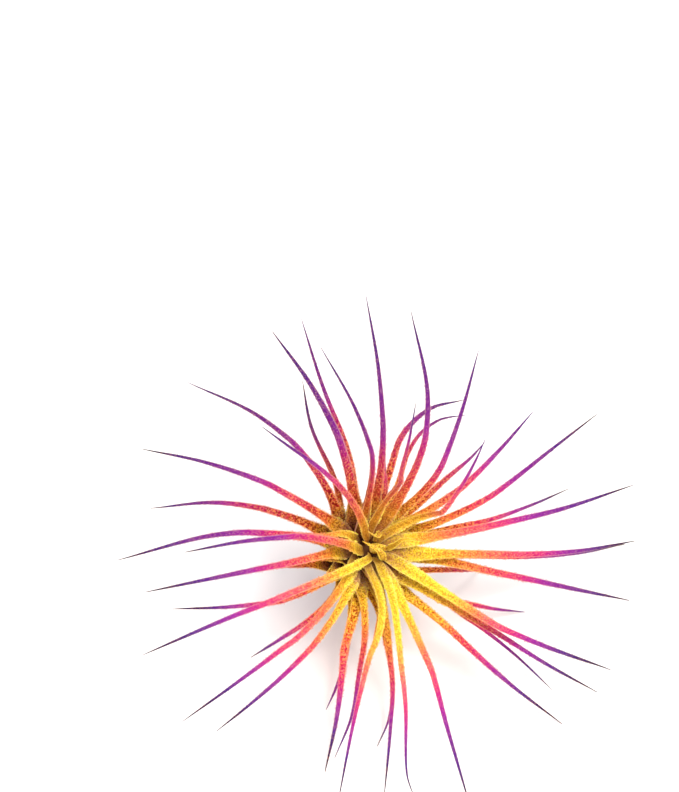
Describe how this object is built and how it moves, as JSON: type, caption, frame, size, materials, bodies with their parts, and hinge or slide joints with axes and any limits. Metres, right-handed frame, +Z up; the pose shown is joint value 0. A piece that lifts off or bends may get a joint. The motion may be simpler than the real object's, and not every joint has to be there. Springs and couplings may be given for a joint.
{
  "type": "ionantha air plant",
  "caption": "Bare air plant with a spiral rosette of narrow channelled leaves that arch out of a short stem and rest on their tips.",
  "frame": {"origin": "centre of the bounding box in plan, on the table that the leaf tips rest on", "axes": "+X to the right of the plant's open side, +Y to its back, +Z up"},
  "size_m": [0.1048, 0.089, 0.0666],
  "materials": {
    "stem": "dry fibrous stub",
    "leaf_inner": "matt, fine silvery scales; yellow at the base through pink to purple at the tip",
    "leaf_middle": "matt, fine silvery scales; yellow and orange at the base through coral to purple at the tip",
    "leaf_outer": "matt, speckled scales; orange and red with a purple tip"
  },
  "bodies": {
    "root": {"stem": "stem", "leaf_01": "leaf_inner", "leaf_02": "leaf_inner", "leaf_03": "leaf_inner", "leaf_04": "leaf_inner", "leaf_05": "leaf_inner", "leaf_06": "leaf_inner", "leaf_07": "leaf_inner", "leaf_08": "leaf_inner", "leaf_09": "leaf_inner", "leaf_10": "leaf_inner", "leaf_11": "leaf_inner", "leaf_12": "leaf_inner", "leaf_13": "leaf_inner", "leaf_14": "leaf_inner", "leaf_15": "leaf_inner", "leaf_16": "leaf_inner", "leaf_17": "leaf_inner", "leaf_18": "leaf_inner", "leaf_19": "leaf_middle", "leaf_20": "leaf_middle", "leaf_21": "leaf_middle", "leaf_22": "leaf_middle", "leaf_23": "leaf_middle", "leaf_24": "leaf_middle", "leaf_25": "leaf_middle", "leaf_26": "leaf_middle", "leaf_27": "leaf_middle", "leaf_28": "leaf_middle", "leaf_29": "leaf_middle", "leaf_30": "leaf_middle", "leaf_31": "leaf_middle", "leaf_32": "leaf_middle", "leaf_33": "leaf_middle", "leaf_34": "leaf_middle", "leaf_35": "leaf_middle", "leaf_36": "leaf_middle", "leaf_37": "leaf_outer", "leaf_38": "leaf_outer", "leaf_39": "leaf_outer", "leaf_40": "leaf_outer", "leaf_41": "leaf_outer", "leaf_42": "leaf_outer", "leaf_43": "leaf_outer", "leaf_44": "leaf_outer", "leaf_45": "leaf_outer", "leaf_46": "leaf_outer", "leaf_47": "leaf_outer", "leaf_48": "leaf_outer", "leaf_49": "leaf_outer", "leaf_50": "leaf_outer", "leaf_51": "leaf_outer", "leaf_52": "leaf_outer", "leaf_53": "leaf_outer", "leaf_54": "leaf_outer"}
  },
  "joints": []
}
